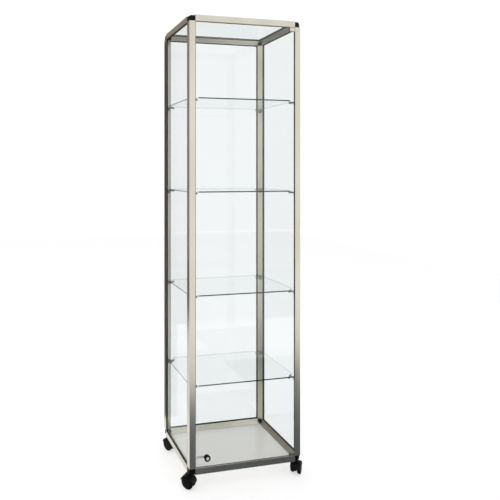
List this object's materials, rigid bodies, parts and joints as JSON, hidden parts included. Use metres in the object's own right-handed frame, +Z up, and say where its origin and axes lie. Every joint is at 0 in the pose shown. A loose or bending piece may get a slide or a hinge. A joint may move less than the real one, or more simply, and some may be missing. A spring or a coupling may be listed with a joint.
{
  "type": "glazed display case on castors",
  "caption": "Tall glazed display case: aluminium corner-profile frame, glass shelves on clips, a locking pivot-hinged glass door and twin-wheel castors.",
  "frame": {"origin": "on the floor under the middle of the case", "axes": "+Z up, the door towards -Y, +X to the right seen from the front"},
  "size_m": [0.5497, 0.3193, 1.91],
  "materials": {
    "aluminium": "satin champagne anodised",
    "glass": "clear float glass, polished edges",
    "laminate": "pale grey laminated board, semi-gloss",
    "black_plastic": "moulded, satin",
    "black_nylon": "moulded nylon",
    "chrome": "polished",
    "clear_plastic": "translucent moulded"
  },
  "bodies": {
    "case": {"base_panel": "laminate", "clip_1_front_left": "clear_plastic", "clip_1_front_right": "clear_plastic", "clip_1_rear_left": "clear_plastic", "clip_1_rear_right": "clear_plastic", "clip_2_front_left": "clear_plastic", "clip_2_front_right": "clear_plastic", "clip_2_rear_left": "clear_plastic", "clip_2_rear_right": "clear_plastic", "clip_3_front_left": "clear_plastic", "clip_3_front_right": "clear_plastic", "clip_3_rear_left": "clear_plastic", "clip_3_rear_right": "clear_plastic", "clip_4_front_left": "clear_plastic", "clip_4_front_right": "clear_plastic", "clip_4_rear_left": "clear_plastic", "clip_4_rear_right": "clear_plastic", "corner_joint_bottom_front_left": "black_plastic", "corner_joint_bottom_front_right": "black_plastic", "corner_joint_bottom_rear_left": "black_plastic", "corner_joint_bottom_rear_right": "black_plastic", "corner_joint_top_front_left": "black_plastic", "corner_joint_top_front_right": "black_plastic", "corner_joint_top_rear_left": "black_plastic", "corner_joint_top_rear_right": "black_plastic", "glass_back": "glass", "glass_left": "glass", "glass_right": "glass", "glass_top": "glass", "post_front_left": "aluminium", "post_front_right": "aluminium", "post_rear_left": "aluminium", "post_rear_right": "aluminium", "rail_bottom_front": "aluminium", "rail_bottom_left": "aluminium", "rail_bottom_rear": "aluminium", "rail_bottom_right": "aluminium", "rail_top_front": "aluminium", "rail_top_left": "aluminium", "rail_top_rear": "aluminium", "rail_top_right": "aluminium", "shelf_1": "glass", "shelf_2": "glass", "shelf_3": "glass", "shelf_4": "glass"},
    "door": {"door_glass": "glass", "door_hinge_bottom": "chrome", "door_hinge_top": "chrome", "lock_body": "black_plastic", "lock_nut": "black_plastic"},
    "lock_core": {"lock_plug": "chrome", "lock_cam": "chrome"},
    "castor_front_left": {"castor_front_left_hood": "black_plastic"},
    "wheels_front_left": {"castor_front_left_wheels": "black_nylon"},
    "castor_front_right": {"castor_front_right_hood": "black_plastic"},
    "wheels_front_right": {"castor_front_right_wheels": "black_nylon"},
    "castor_rear_left": {"castor_rear_left_hood": "black_plastic"},
    "wheels_rear_left": {"castor_rear_left_wheels": "black_nylon"},
    "castor_rear_right": {"castor_rear_right_hood": "black_plastic"},
    "wheels_rear_right": {"castor_rear_right_wheels": "black_nylon"}
  },
  "joints": [
    {"name": "door_swing", "type": "hinge", "parent": "case", "child": "door", "pos_m": [0.2135, -0.1465, 0.085], "axis": [0, 0, 1], "range_deg": [0, 110]},
    {"name": "lock_turn", "type": "hinge", "parent": "door", "child": "lock_core", "pos_m": [-0.1705, -0.149, 0.121], "axis": [0, -1, 0], "range_deg": [0, 90]},
    {"name": "castor_front_left_swivel", "type": "hinge", "parent": "case", "child": "castor_front_left", "pos_m": [-0.234, -0.1365, 0.055], "axis": [0, 0, 1], "continuous": true},
    {"name": "castor_front_left_roll", "type": "hinge", "parent": "castor_front_left", "child": "wheels_front_left", "pos_m": [-0.24155, -0.12717, 0.024], "axis": [-0.7771, -0.6293, 0], "continuous": true},
    {"name": "castor_front_right_swivel", "type": "hinge", "parent": "case", "child": "castor_front_right", "pos_m": [0.234, -0.1365, 0.055], "axis": [0, 0, 1], "continuous": true},
    {"name": "castor_front_right_roll", "type": "hinge", "parent": "castor_front_right", "child": "wheels_front_right", "pos_m": [0.24249, -0.12801, 0.024], "axis": [-0.7071, 0.7071, 0], "continuous": true},
    {"name": "castor_rear_left_swivel", "type": "hinge", "parent": "case", "child": "castor_rear_left", "pos_m": [-0.234, 0.1365, 0.055], "axis": [0, 0, 1], "continuous": true},
    {"name": "castor_rear_left_roll", "type": "hinge", "parent": "castor_rear_left", "child": "wheels_rear_left", "pos_m": [-0.2295, 0.12537, 0.024], "axis": [0.9272, 0.3746, 0], "continuous": true},
    {"name": "castor_rear_right_swivel", "type": "hinge", "parent": "case", "child": "castor_rear_right", "pos_m": [0.234, 0.1365, 0.055], "axis": [0, 0, 1], "continuous": true},
    {"name": "castor_rear_right_roll", "type": "hinge", "parent": "castor_rear_right", "child": "wheels_rear_right", "pos_m": [0.2295, 0.12537, 0.024], "axis": [0.9272, -0.3746, 0], "continuous": true}
  ]
}
